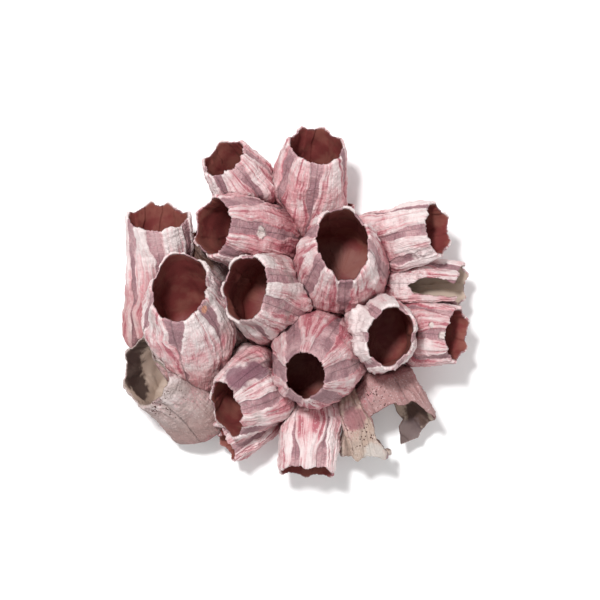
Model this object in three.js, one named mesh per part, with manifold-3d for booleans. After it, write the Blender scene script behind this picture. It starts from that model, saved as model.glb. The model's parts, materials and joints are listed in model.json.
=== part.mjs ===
// A cluster of giant barnacle shells that grew side by side on a rock, cut off flat behind.
// Millimetres, +Z up. The cluster lies on its flat cut at z = 0 and its mouths open upwards and
// outwards. Seen from straight above, +X is right and +Y is the top of the cluster.
import * as THREE from "three";
import { mergeVertices } from "three/addons/utils/BufferGeometryUtils.js";
import Module from "manifold-3d";

const wasm = await Module();
wasm.setup();

// Shell dimensions that every barnacle shares
const PLATES = 6;
const LIP_WALL = 1.1; // wall thickness at the mouth's edge
const DEEP_WALL = 2.4; // wall thickness at the floor of the hollow
const FLOOR_LEVEL = 0.3; // how far up the shell the hollow's floor lies, as a share of its length
const PLATE_RISE = 0.9; // how far a plate's middle stands proud of the shell's round
const SEAM_SINK = 0.5; // how far the strip between two plates lies below the shell's round
const NOTCH = 1.4; // how far the mouth's edge dips between two plates' tips
const FOOT_PLATE_SHARE = 0.47; // a plate's half width at the foot, as a share of the plate spacing
const LIP_PLATE_SHARE = 0.26; // the same at the mouth, where the sunken strips are widest
const STRIPS_START = 0.3; // the level from which the sunken strips widen towards the mouth
const BEND_SHARE = 0.45; // how much of the shell's length runs straight out through the mouth
const FOOT_DOME = 0.2; // how far the rounded foot reaches below level 0, as a share of the length
const TIGHTEST = 0.4; // the least that a crowded shell narrows to, as a share of its free radius
const GAP = 0.35; // the clearance left between two shells
const CLEAR_ABOVE = 0.12; // how far above a mouth no weaker shell grows, as a share of its length

// Each shell, strongest first: a shell is pressed in and cut back by every shell above it in the list.
// foot and mouth are the centres of its two ends, faces is the way that the mouth looks, footRadius
// and belly are outer radii, and opening is the half width and half height of the mouth's hole, which
// turn rotates in degrees. tips lists its six plates as the angle of the plate's tip round the mouth
// in degrees, how far the tip reaches out, its height in mm and the extra dip after it in mm.
const shells = [
  {
    name: "barnacle_centre_low",
    foot: [8, -20, 0],
    mouth: [1.5, -26.5, 60],
    faces: [-0.22, -0.22, 0.95],
    footRadius: 16,
    belly: 17,
    opening: [6.2, 7.6],
  },
  {
    name: "barnacle_centre",
    foot: [17, 4, 0],
    mouth: [15, 20.5, 58],
    faces: [0.05, 0.3, 0.95],
    footRadius: 15,
    belly: 17,
    opening: [8, 12],
    tips: [[30, 1, 0], [78, 1, 0], [124, 1.05, 0], [185, 1, 0], [250, 0.96, 0, 3.5], [302, 1, -1]],
  },
  {
    name: "barnacle_centre_right",
    foot: [28, -13.5, 0],
    mouth: [32, -13, 55],
    faces: [0.25, -0.05, 0.96],
    footRadius: 15,
    belly: 14.5,
    opening: [7.3, 9.8],
    turn: -20,
  },
  {
    name: "barnacle_centre_left",
    foot: [-5, -7, 0],
    mouth: [-20, 4, 54],
    faces: [-0.5, 0.1, 0.86],
    footRadius: 17,
    belly: 15.5,
    opening: [8, 10.6],
    tips: [[0, 1, 0], [62, 1.06, 0], [118, 1, 0], [180, 1, 0], [240, 1, 0], [300, 1, 0]],
  },
  {
    name: "barnacle_left",
    foot: [-39, -28.5, 15],
    mouth: [-43, 5, 50],
    faces: [-0.15, 0.42, 0.9],
    footRadius: 11,
    belly: 16,
    opening: [8.9, 12.4],
    tips: [[348, 1, 0], [48, 1, -1], [112, 1.04, 0], [175, 1, 0], [228, 1, 0], [300, 1, 0]],
  },
  {
    name: "barnacle_upper_left",
    foot: [-7.5, 21, 3],
    mouth: [-32, 26.5, 44],
    faces: [-0.72, 0.1, 0.68],
    footRadius: 13,
    belly: 13.5,
    opening: [8.6, 9.6],
  },
  {
    name: "barnacle_low_left",
    foot: [-8, -25, 4],
    mouth: [-27.5, -40, 36],
    faces: [-0.72, -0.35, 0.6],
    footRadius: 16,
    belly: 15.5,
    opening: [6.5, 10],
  },
  {
    name: "barnacle_lower_left",
    foot: [-37, -43, 6],
    mouth: [-57.2, -26, 29],
    faces: [-0.65, 0.05, 0.75],
    footRadius: 15.5,
    belly: 15,
    opening: [11, 12],
  },
  {
    name: "barnacle_top_right",
    foot: [0, 21, 3],
    mouth: [6, 57, 36],
    faces: [0.12, 0.72, 0.68],
    footRadius: 14.5,
    belly: 14,
    opening: [8.8, 9.8],
    tips: [[20, 1, 0], [68, 1, 0], [112, 1, 0], [165, 1, 0], [235, 1, 0], [300, 1, 0]],
  },
  {
    name: "barnacle_top_left",
    foot: [-12, 24, 5],
    mouth: [-28, 52.5, 34],
    faces: [-0.48, 0.6, 0.64],
    footRadius: 12.5,
    belly: 12.5,
    opening: [7, 7.4],
    tips: [[0, 1, 0], [55, 1, 0], [127, 1.08, 0], [186, 1.08, 0], [240, 1, 0], [300, 1, 0]],
  },
  {
    name: "barnacle_right_upper",
    foot: [18, 15, 5],
    mouth: [51, 26, 37],
    faces: [0.84, 0.12, 0.52],
    footRadius: 13,
    belly: 12,
    opening: [8, 8.6],
    tips: [[30, 1, 0], [88, 0.95, -1], [150, 1, 0], [210, 1, 0], [270, 1, 0], [330, 1, 0]],
  },
  {
    name: "barnacle_far_left",
    foot: [-57, -12, 13],
    mouth: [-52, 31.5, 31],
    faces: [-0.05, 0.86, 0.5],
    footRadius: 10.5,
    belly: 12,
    opening: [10.4, 10],
    tips: [[20, 1, -1], [78, 1, -0.5], [112, 1, 0.5], [165, 1, -0.5], [240, 1, 0], [300, 1, 0]],
  },
  {
    name: "barnacle_right_lower",
    foot: [28, -12, 7],
    mouth: [58.5, -13, 31],
    faces: [0.86, -0.1, 0.5],
    footRadius: 14.5,
    belly: 12,
    opening: [8.2, 8.6],
  },
  {
    name: "barnacle_bottom",
    foot: [6, -26, 10],
    mouth: [2.5, -64.5, 25],
    faces: [-0.05, -0.96, 0.25],
    up: [0, 0, 1],
    footRadius: 13,
    belly: 12.2,
    opening: [9.4, 9],
  },
  {
    name: "barnacle_right_middle",
    foot: [20, 5, 8],
    mouth: [60.5, 5, 25],
    faces: [0.94, -0.1, 0.32],
    footRadius: 11,
    belly: 10.4,
    opening: [7.5, 6.6],
  },
  {
    name: "barnacle_broken_right",
    foot: [25, -23, 8],
    mouth: [43.5, -50.8, 22],
    faces: [0.7, -0.7, 0.15],
    up: [0, 0, 1],
    footRadius: 14.5,
    belly: 13,
    opening: [9.5, 9.2],
    tips: [
      [30, 1, 0],
      [90, 1, 0],
      [150, 1, 0],
      [210, 0.95, -2],
      [270, 1, 0.5],
      [330, 1, 0],
    ],
  },
  {
    name: "barnacle_broken_low",
    foot: [13, -24, 9],
    mouth: [26, -57.4, 18],
    faces: [0.15, -0.93, -0.2],
    up: [0, 0, 1],
    footRadius: 9.5,
    belly: 10,
    opening: [9, 8],
    tips: [
      [0, 1.05, 2.5],
      [60, 1, 1],
      [120, 1, 0],
      [180, 1, 0],
      [240, 1, 0],
      [300, 1, 1.5],
    ],
  },
  {
    name: "barnacle_rear_top",
    foot: [7, 15, 5],
    mouth: [14, 38, 14],
    faces: [0.4, 0.8, 0.45],
    up: [0, 0, 1],
    footRadius: 8,
    belly: 8.5,
    opening: [6, 5.5],
  },
  {
    name: "barnacle_rear_low_left",
    foot: [-9.5, -40, 8],
    mouth: [-29.1, -53.7, 18],
    faces: [-0.8, -0.5, 0.2],
    up: [0, 0, 1],
    footRadius: 9,
    belly: 9.5,
    opening: [7.5, 7],
  },
  {
    name: "barnacle_rear_left",
    foot: [-22, -16, 2],
    mouth: [-51, -2, 12],
    faces: [-0.98, 0.15, 0.1],
    footRadius: 14,
    belly: 13.5,
    opening: [7.5, 7],
  },
  {
    name: "barnacle_rear_upper_left",
    foot: [-20, 4, 2],
    mouth: [-41, 23, 16],
    faces: [-0.75, 0.6, 0.3],
    up: [0, 0, 1],
    footRadius: 11,
    belly: 11,
    opening: [7.5, 7],
  },
];

// Where broken walls are gone, as outlines seen from above that are cut away above a height: the gap
// through the two broken shells, the front of the right one and the split along the right middle one.
const breaks = [
  {
    shells: ["barnacle_broken_right", "barnacle_broken_low"],
    above: 0,
    outline: [
      [26.1, -42.9],
      [30.5, -39.6],
      [35.1, -37.7],
      [37.2, -43.2],
      [39.1, -45.3],
      [37.4, -48],
      [37.7, -52.4],
      [38.6, -62],
      [35.2, -62],
      [35.2, -56.2],
      [31.6, -55.4],
      [28.9, -52.3],
      [27.4, -48.6],
      [26.9, -44.8],
    ],
  },
  {
    shells: ["barnacle_broken_right"],
    above: 19,
    outline: [
      [33.7, -38],
      [38.1, -38.6],
      [40.9, -37],
      [45.5, -40],
      [49.6, -43],
      [56, -52],
      [40, -64],
      [33, -50],
    ],
  },
  {
    shells: ["barnacle_right_middle"],
    above: 21,
    outline: [
      [39.5, 5.2],
      [45.5, 8.2],
      [51, 7.8],
      [57, 6],
      [66, 5],
      [66, 0.8],
      [50, 1.4],
      [42, 2.2],
    ],
  },
];

const { clamp, degToRad, euclideanModulo, lerp } = THREE.MathUtils;

// The middle line of a shell, from foot to mouth.
for (const shell of shells) {
  const foot = new THREE.Vector3(...shell.foot);
  const mouth = new THREE.Vector3(...shell.mouth);
  const faces = new THREE.Vector3(...shell.faces).normalize();
  shell.span = foot.distanceTo(mouth);
  const bend = mouth.clone().addScaledVector(faces, -BEND_SHARE * shell.span);
  shell.line = new THREE.QuadraticBezierCurve3(foot, bend, mouth);
  shell.linePoints = shell.line.getPoints(12);
  shell.upward = new THREE.Vector3(...(shell.up ?? [0, 1, 0]));
  shell.widest = Math.max(shell.footRadius, shell.belly, ...shell.opening) + 2 * LIP_WALL;
  shell.tips ??= [30, 90, 150, 210, 270, 330].map((angle) => [angle, 1, 0]);
}

// The centre and the directions of the cross-section at a level, 0 at the foot and 1 at the mouth.
function section(shell, level) {
  const inside = clamp(level, 0, 1);
  const along = shell.line.getTangent(inside);
  const centre = shell.line.getPoint(inside);
  centre.addScaledVector(along, (level - inside) * shell.span);
  const across = shell.upward.clone().cross(along).normalize();
  const up = along.clone().cross(across);
  return { centre, along, across, up };
}

// The point of a cross-section at an angle and a distance from its centre.
function pointOf({ centre, across, up }, angle, distance) {
  return centre
    .clone()
    .addScaledVector(across, distance * Math.cos(angle))
    .addScaledVector(up, distance * Math.sin(angle));
}

// The round outer radius of a shell that nothing presses on.
function freeRadius(shell, level, angle) {
  const inside = clamp(level, 0, 1);
  const [halfWidth, halfHeight] = shell.opening.map((half) => half + LIP_WALL);
  const turned = angle - degToRad(shell.turn ?? 0);
  const oval = 1 / Math.hypot(Math.cos(turned) / halfWidth, Math.sin(turned) / halfHeight);
  const toFoot = (1 - inside) * (1 - 2 * inside);
  const toBelly = 4 * inside * (1 - inside);
  const toMouth = inside * (2 * inside - 1);
  const dome = level < 0 ? Math.sqrt(1 - (level / FOOT_DOME) ** 2) : 1;
  return dome * (toFoot * shell.footRadius + toBelly * shell.belly + toMouth * oval);
}

// A shell's round radius where its neighbours press on it, from the grid of what they leave of it.
const GRID_LEVELS = 10;
const GRID_ANGLES = 36;
function roundRadius(shell, level, angle) {
  const row = clamp(level, 0, 1) * GRID_LEVELS;
  const column = euclideanModulo(angle / (2 * Math.PI), 1) * GRID_ANGLES;
  const [lowRow, lowColumn] = [Math.min(Math.floor(row), GRID_LEVELS - 1), Math.floor(column)];
  const left = (r, c) => shell.left[r][c % GRID_ANGLES];
  const below = lerp(left(lowRow, lowColumn), left(lowRow, lowColumn + 1), column - lowColumn);
  const above = lerp(left(lowRow + 1, lowColumn), left(lowRow + 1, lowColumn + 1), column - lowColumn);
  return freeRadius(shell, level, angle) * lerp(below, above, row - lowRow);
}

// Whether a point lies inside the room that a shell takes up, its hollow and mouth included.
function takes(shell, point) {
  const distances = shell.linePoints.map((place) => place.distanceTo(point));
  const nearest = Math.min(...distances);
  if (nearest > shell.widest + GAP + shell.span * CLEAR_ABOVE) return false;
  let level = distances.indexOf(nearest) / (distances.length - 1);
  for (let round = 0; round < 2; round++) {
    const { centre, along } = section(shell, level);
    level += point.clone().sub(centre).dot(along) / shell.span;
  }
  if (level < -FOOT_DOME || level > 1 + CLEAR_ABOVE) return false;
  const { centre, across, up } = section(shell, level);
  const from = point.clone().sub(centre);
  const angle = Math.atan2(from.dot(up), from.dot(across));
  return from.length() < roundRadius(shell, level, angle) + GAP;
}

// The share of a shell's free radius that the stronger shells leave to it in one direction.
function shareLeft(shell, stronger, level, angle) {
  const slice = section(shell, level);
  const radius = freeRadius(shell, level, angle);
  for (let share = 1; share > TIGHTEST; share -= 0.03) {
    const point = pointOf(slice, angle, radius * share);
    if (!stronger.some((other) => takes(other, point))) return share;
  }
  return TIGHTEST;
}

for (const [index, shell] of shells.entries()) {
  const stronger = shells.slice(0, index);
  const row = (r) =>
    Array.from({ length: GRID_ANGLES }, (_, c) =>
      shareLeft(shell, stronger, r / GRID_LEVELS, (c * 2 * Math.PI) / GRID_ANGLES),
    );
  shell.left = eased(Array.from({ length: GRID_LEVELS + 1 }, (_, r) => row(r)));
}

// The grid with each share averaged with its neighbours, so that a wall has no sudden steps.
function eased(grid) {
  const near = [-1, 0, 1];
  const around = (r, c) =>
    near.flatMap((up) => near.map((on) => (grid[r + up] ?? grid[r]).at((c + on) % GRID_ANGLES)));
  const average = (values) => values.reduce((sum, value) => sum + value, 0) / values.length;
  return grid.map((row, r) => row.map((_, c) => average(around(r, c))));
}

// The columns of a shell's wall: three to a plate, at its middle and at the two edges of the sunken
// strip after it. Each gives its angle, reach, height and rise at a level.
const COLUMNS = PLATES * 3;
function column(shell, index, level) {
  const plate = Math.floor(index / 3);
  const [angle, reach, height, dip = 0] = shell.tips[plate];
  const [nextAngle, nextReach, nextHeight] = shell.tips[(plate + 1) % PLATES];
  const widened = clamp((level - STRIPS_START) / (1 - STRIPS_START), 0, 1);
  const half = lerp(FOOT_PLATE_SHARE, LIP_PLATE_SHARE, widened);
  const share = [0, half, 1 - half][index % 3];
  const middle = index % 3 === 0;
  return {
    angle: degToRad(angle + share * euclideanModulo(nextAngle - angle, 360)),
    reach: lerp(reach, nextReach, share),
    height: lerp(height, nextHeight, share) - (middle ? 0 : NOTCH + dip),
    rise: middle ? PLATE_RISE : -SEAM_SINK,
  };
}

// A point of a shell's wall. height is 0 at the foot and 1 at the mouth's edge, and depth is how far
// inside the outer face it lies.
function wallPoint(shell, index, height, depth) {
  const lip = column(shell, index, 1);
  const level = height * (1 + lip.height / shell.span);
  const { angle, rise, reach } = column(shell, index, level);
  const round = roundRadius(shell, level, angle) * lerp(1, reach, level * level);
  const distance = round + rise * Math.sqrt(Math.max(height, 0)) - depth;
  return pointOf(section(shell, level), angle, Math.max(distance, 1));
}

function solid(vertProperties, triVerts) {
  const build = (order) =>
    new wasm.Manifold(
      new wasm.Mesh({ numProp: 3, vertProperties, triVerts: new Uint32Array(order) }),
    );
  const made = build(triVerts);
  return made.volume() < 0 ? build([...triVerts].reverse()) : made;
}

function closed(geometry) {
  geometry.deleteAttribute("normal");
  geometry.deleteAttribute("uv");
  const merged = mergeVertices(geometry, 1e-4);
  const faces = [];
  for (let i = 0; i < merged.index.count; i += 3) {
    const [a, b, c] = merged.index.array.slice(i, i + 3);
    if (a !== b && b !== c && c !== a) faces.push(a, b, c);
  }
  return solid(merged.attributes.position.array, faces);
}

// A lathe whose rings are then moved to where place says. Its first and last row are the two centres.
function turned(profile, place) {
  const last = profile.length - 1;
  const outline = profile.map((row, i) => new THREE.Vector2(i === 0 || i === last ? 0 : 1, i));
  const lathe = new THREE.LatheGeometry(outline, COLUMNS);
  const at = lathe.attributes.position;
  for (let i = 0; i < at.count; i++) {
    const row = profile[i % profile.length];
    const point = place(row, Math.floor(i / profile.length) % COLUMNS);
    at.setXYZ(i, point.x, point.y, point.z);
  }
  return closed(lathe);
}

// The hollow shell of one barnacle: up the outside, over the mouth's edge and down to the floor.
function barnacle(shell) {
  const profile = [
    { centre: -FOOT_DOME },
    { height: -0.7 * FOOT_DOME, depth: 0 },
    { height: 0.15, depth: 0 },
    { height: 0.6, depth: 0 },
    { height: 0.85, depth: 0 },
    { height: 1, depth: 0 },
    { height: 1, depth: LIP_WALL },
    { height: 0.66, depth: lerp(LIP_WALL, DEEP_WALL, 0.5) },
    { height: FLOOR_LEVEL + 0.04, depth: DEEP_WALL },
    { centre: FLOOR_LEVEL },
  ];
  return turned(profile, (row, index) =>
    row.height === undefined
      ? section(shell, row.centre).centre
      : wallPoint(shell, index, row.height, row.depth),
  );
}

// The room a barnacle takes up, filled and a gap wider all round, which cuts back weaker shells.
function room(shell) {
  const profile = [
    { centre: -FOOT_DOME - 0.02 },
    { height: -0.7 * FOOT_DOME },
    { height: 0.15 },
    { height: 0.6 },
    { height: 0.85 },
    { height: 1.02 },
    { centre: 1 + CLEAR_ABOVE / 2 },
  ];
  return turned(profile, (row, index) =>
    row.height === undefined
      ? section(shell, row.centre).centre
      : wallPoint(shell, index, row.height, -GAP),
  );
}

// The rock below the cut.
function ground() {
  const side = 400;
  return closed(new THREE.BoxGeometry(side, side, side).translate(0, 0, -side / 2));
}

// What is missing where walls are broken.
function missing({ outline, above }) {
  const shape = new THREE.Shape(outline.map(([x, y]) => new THREE.Vector2(x, y)));
  const block = new THREE.ExtrudeGeometry(shape, { depth: 100, bevelEnabled: false });
  return closed(block.translate(0, 0, above - 1));
}

const cluster = new THREE.Group();
const rooms = [];
const rock = ground();
for (const shell of shells) {
  let body = barnacle(shell).subtract(rock);
  for (const taken of rooms) body = body.subtract(taken);
  for (const gap of breaks) {
    if (gap.shells.includes(shell.name)) body = body.subtract(missing(gap));
  }
  rooms.push(room(shell));
  const [largest] = body.decompose().sort((a, b) => b.volume() - a.volume());
  const cut = largest.getMesh();
  const geometry = new THREE.BufferGeometry();
  geometry.setAttribute("position", new THREE.BufferAttribute(cut.vertProperties, 3));
  geometry.setIndex(new THREE.BufferAttribute(cut.triVerts, 1));
  geometry.translate(...shell.foot.map((place) => -place));
  geometry.computeVertexNormals();
  const finish = new THREE.MeshStandardMaterial({ color: 0xd9b3b8, roughness: 0.75, metalness: 0 });
  const mesh = new THREE.Mesh(geometry, finish);
  mesh.name = shell.name;
  mesh.position.set(...shell.foot);
  cluster.add(mesh);
}

export default cluster;
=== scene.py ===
"""Large barnacle cluster: grows every shell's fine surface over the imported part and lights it."""

import json
import math
from dataclasses import dataclass
from types import SimpleNamespace

import bmesh
import bpy
import numpy as np
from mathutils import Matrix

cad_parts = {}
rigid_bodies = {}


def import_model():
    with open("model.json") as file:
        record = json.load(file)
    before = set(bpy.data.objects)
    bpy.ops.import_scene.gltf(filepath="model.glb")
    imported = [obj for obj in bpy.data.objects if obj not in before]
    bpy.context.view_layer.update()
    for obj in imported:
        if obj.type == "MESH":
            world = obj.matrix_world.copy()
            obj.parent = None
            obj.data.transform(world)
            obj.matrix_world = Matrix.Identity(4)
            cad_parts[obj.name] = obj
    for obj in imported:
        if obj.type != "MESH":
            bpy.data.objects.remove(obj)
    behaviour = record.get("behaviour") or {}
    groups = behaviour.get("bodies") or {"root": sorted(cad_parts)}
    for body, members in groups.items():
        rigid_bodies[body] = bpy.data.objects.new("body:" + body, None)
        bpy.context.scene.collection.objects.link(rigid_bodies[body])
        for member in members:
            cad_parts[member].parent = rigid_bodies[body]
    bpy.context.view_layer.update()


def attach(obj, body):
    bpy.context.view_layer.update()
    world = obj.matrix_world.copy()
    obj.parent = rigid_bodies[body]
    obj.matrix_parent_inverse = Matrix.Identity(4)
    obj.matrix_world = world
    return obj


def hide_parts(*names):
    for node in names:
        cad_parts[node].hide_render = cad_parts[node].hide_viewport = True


bl_info = {
    "name": "Barnacle Cluster",
    "version": (1, 0, 0),
    "blender": (4, 5, 0),
    "location": "View3D > Sidebar > Barnacles",
    "description": "Grows a cluster of large barnacle shells, with their plates, ribs and hollows",
    "category": "Add Mesh",
}

for startup in list(bpy.data.objects):
    bpy.data.objects.remove(startup)
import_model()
MM = 0.001
PLATES = 6
COLUMNS_PER_PLATE = 32
ROOM_COLUMNS_PER_PLATE = 12
WALL_RINGS = 96
HOLLOW_RINGS = 40
MOUTH_WALL = 1.1  # from the edge of the hole to the outside of the wall at the mouth, in mm
THINNEST = 0.6  # the least distance of any wall from the shell's own line, in mm
HALF_PLATE_AT_FOOT = 0.56  # half a plate's width as a share of the spacing
HALF_PLATE_AT_MOUTH = 0.27
BEND_SHARE = 0.45  # how much of a shell's length runs straight out through its mouth
FOOT_DOME = 0.2  # how far the rounded foot reaches below level 0, as a share of the length
FLOOR_LEVEL = 0.3  # where the hollow's floor lies, as a share of the length
TIGHTEST = 0.4  # the least that a crowded shell narrows to, as a share of its free radius
CLEAR_ABOVE = 0.12  # how far above a mouth no weaker shell grows, as a share of its length
GRID_LEVELS = 20
GRID_ANGLES = 72
NEAR_MARGIN = 8  # how far past its own size a shell looks for neighbours, in mm
NOT_BESIDE = 99  # the distance given to a point past the ends of a shell, in mm
ROCK_REACH = 200  # half the width of the block that cuts the cluster off flat at z = 0, in mm
ROCK_DEPTH = 300
ABOVE_ALL = 90  # higher than any shell, in mm
BREAK_STEP = 1.3  # how long the steps of a broken edge are, in mm
FLOOR_RADIUS = 4  # in metres, as are the next two
CAMERA_HEIGHT = 0.645
FLOOR_DROP = 0.0004
CAMERA_LENS = 100.85


@dataclass(eq=False)
class Shell:
    """One barnacle in mm. A shell is pressed in and cut back by every shell listed before it."""

    name: str
    foot: tuple
    mouth: tuple
    faces: tuple
    foot_radius: float
    belly: float
    opening: tuple
    up: tuple = (0, 1, 0)
    turn: float = 0
    tips: tuple = tuple((angle, 1, 0) for angle in range(30, 360, 60))
    left: np.ndarray = None


# foot and mouth are the centres of a shell's two ends, faces is the way that the mouth looks, and
# opening is the half width and half height of its hole. tips are the plates: the angle round the
# mouth, how far the tip reaches out, its height and the extra dip after it.
SHELLS = [
    Shell(
        "barnacle_centre_low",
        foot=(8, -20, 0),
        mouth=(1.5, -26.5, 60),
        faces=(-0.22, -0.22, 0.95),
        foot_radius=16,
        belly=17,
        opening=(6.2, 7.6),
    ),
    Shell(
        "barnacle_centre",
        foot=(17, 4, 0),
        mouth=(15, 20.5, 58),
        faces=(0.05, 0.3, 0.95),
        foot_radius=15,
        belly=17,
        opening=(8, 12),
        tips=((30, 1, 0), (78, 1, 0), (124, 1.05, 0), (185, 1, 0), (250, 0.96, 0, 3.5), (302, 1, -1)),
    ),
    Shell(
        "barnacle_centre_right",
        foot=(28, -13.5, 0),
        mouth=(32, -13, 55),
        faces=(0.25, -0.05, 0.96),
        foot_radius=15,
        belly=14.5,
        opening=(7.3, 9.8),
        turn=-20,
    ),
    Shell(
        "barnacle_centre_left",
        foot=(-5, -7, 0),
        mouth=(-20, 4, 54),
        faces=(-0.5, 0.1, 0.86),
        foot_radius=17,
        belly=15.5,
        opening=(8, 10.6),
        tips=((0, 1, 0), (62, 1.06, 0), (118, 1, 0), (180, 1, 0), (240, 1, 0), (300, 1, 0)),
    ),
    Shell(
        "barnacle_left",
        foot=(-39, -28.5, 15),
        mouth=(-43, 5, 50),
        faces=(-0.15, 0.42, 0.9),
        foot_radius=11,
        belly=16,
        opening=(8.9, 12.4),
        tips=((348, 1, 0), (48, 1, -1), (112, 1.04, 0), (175, 1, 0), (228, 1, 0), (300, 1, 0)),
    ),
    Shell(
        "barnacle_upper_left",
        foot=(-7.5, 21, 3),
        mouth=(-32, 26.5, 44),
        faces=(-0.72, 0.1, 0.68),
        foot_radius=13,
        belly=13.5,
        opening=(8.6, 9.6),
    ),
    Shell(
        "barnacle_low_left",
        foot=(-8, -25, 4),
        mouth=(-27.5, -40, 36),
        faces=(-0.72, -0.35, 0.6),
        foot_radius=16,
        belly=15.5,
        opening=(6.5, 10),
    ),
    Shell(
        "barnacle_lower_left",
        foot=(-37, -43, 6),
        mouth=(-57.2, -26, 29),
        faces=(-0.65, 0.05, 0.75),
        foot_radius=15.5,
        belly=15,
        opening=(11, 12),
    ),
    Shell(
        "barnacle_top_right",
        foot=(0, 21, 3),
        mouth=(6, 57, 36),
        faces=(0.12, 0.72, 0.68),
        foot_radius=14.5,
        belly=14,
        opening=(8.8, 9.8),
        tips=((20, 1, 0), (68, 1, 0), (112, 1, 0), (165, 1, 0), (235, 1, 0), (300, 1, 0)),
    ),
    Shell(
        "barnacle_top_left",
        foot=(-12, 24, 5),
        mouth=(-28, 52.5, 34),
        faces=(-0.48, 0.6, 0.64),
        foot_radius=12.5,
        belly=12.5,
        opening=(7, 7.4),
        tips=((0, 1, 0), (55, 1, 0), (127, 1.08, 0), (186, 1.08, 0), (240, 1, 0), (300, 1, 0)),
    ),
    Shell(
        "barnacle_right_upper",
        foot=(18, 15, 5),
        mouth=(51, 26, 37),
        faces=(0.84, 0.12, 0.52),
        foot_radius=13,
        belly=12,
        opening=(8, 8.6),
        tips=((30, 1, 0), (88, 0.95, -1), (150, 1, 0), (210, 1, 0), (270, 1, 0), (330, 1, 0)),
    ),
    Shell(
        "barnacle_far_left",
        foot=(-57, -12, 13),
        mouth=(-52, 31.5, 31),
        faces=(-0.05, 0.86, 0.5),
        foot_radius=10.5,
        belly=12,
        opening=(10.4, 10),
        tips=((20, 1, -1), (78, 1, -0.5), (112, 1, 0.5), (165, 1, -0.5), (240, 1, 0), (300, 1, 0)),
    ),
    Shell(
        "barnacle_right_lower",
        foot=(28, -12, 7),
        mouth=(58.5, -13, 31),
        faces=(0.86, -0.1, 0.5),
        foot_radius=14.5,
        belly=12,
        opening=(8.2, 8.6),
    ),
    Shell(
        "barnacle_bottom",
        foot=(6, -26, 10),
        mouth=(2.5, -64.5, 25),
        faces=(-0.05, -0.96, 0.25),
        up=(0, 0, 1),
        foot_radius=13,
        belly=12.2,
        opening=(9.4, 9),
    ),
    Shell(
        "barnacle_right_middle",
        foot=(20, 5, 8),
        mouth=(60.5, 5, 25),
        faces=(0.94, -0.1, 0.32),
        foot_radius=11,
        belly=10.4,
        opening=(7.5, 6.6),
    ),
    Shell(
        "barnacle_broken_right",
        foot=(25, -23, 8),
        mouth=(43.5, -50.8, 22),
        faces=(0.7, -0.7, 0.15),
        up=(0, 0, 1),
        foot_radius=14.5,
        belly=13,
        opening=(9.5, 9.2),
        tips=((30, 1, 0), (90, 1, 0), (150, 1, 0), (210, 0.95, -2), (270, 1, 0.5), (330, 1, 0)),
    ),
    Shell(
        "barnacle_broken_low",
        foot=(13, -24, 9),
        mouth=(26, -57.4, 18),
        faces=(0.15, -0.93, -0.2),
        up=(0, 0, 1),
        foot_radius=9.5,
        belly=10,
        opening=(9, 8),
        tips=((0, 1.05, 2.5), (60, 1, 1), (120, 1, 0), (180, 1, 0), (240, 1, 0), (300, 1, 1.5)),
    ),
    Shell(
        "barnacle_rear_top",
        foot=(7, 15, 5),
        mouth=(14, 38, 14),
        faces=(0.4, 0.8, 0.45),
        up=(0, 0, 1),
        foot_radius=8,
        belly=8.5,
        opening=(6, 5.5),
    ),
    Shell(
        "barnacle_rear_low_left",
        foot=(-9.5, -40, 8),
        mouth=(-29.1, -53.7, 18),
        faces=(-0.8, -0.5, 0.2),
        up=(0, 0, 1),
        foot_radius=9,
        belly=9.5,
        opening=(7.5, 7),
    ),
    Shell(
        "barnacle_rear_left",
        foot=(-22, -16, 2),
        mouth=(-51, -2, 12),
        faces=(-0.98, 0.15, 0.1),
        foot_radius=14,
        belly=13.5,
        opening=(7.5, 7),
    ),
    Shell(
        "barnacle_rear_upper_left",
        foot=(-20, 4, 2),
        mouth=(-41, 23, 16),
        faces=(-0.75, 0.6, 0.3),
        up=(0, 0, 1),
        foot_radius=11,
        belly=11,
        opening=(7.5, 7),
    ),
]
INDEX = {shell.name: i for i, shell in enumerate(SHELLS)}

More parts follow.
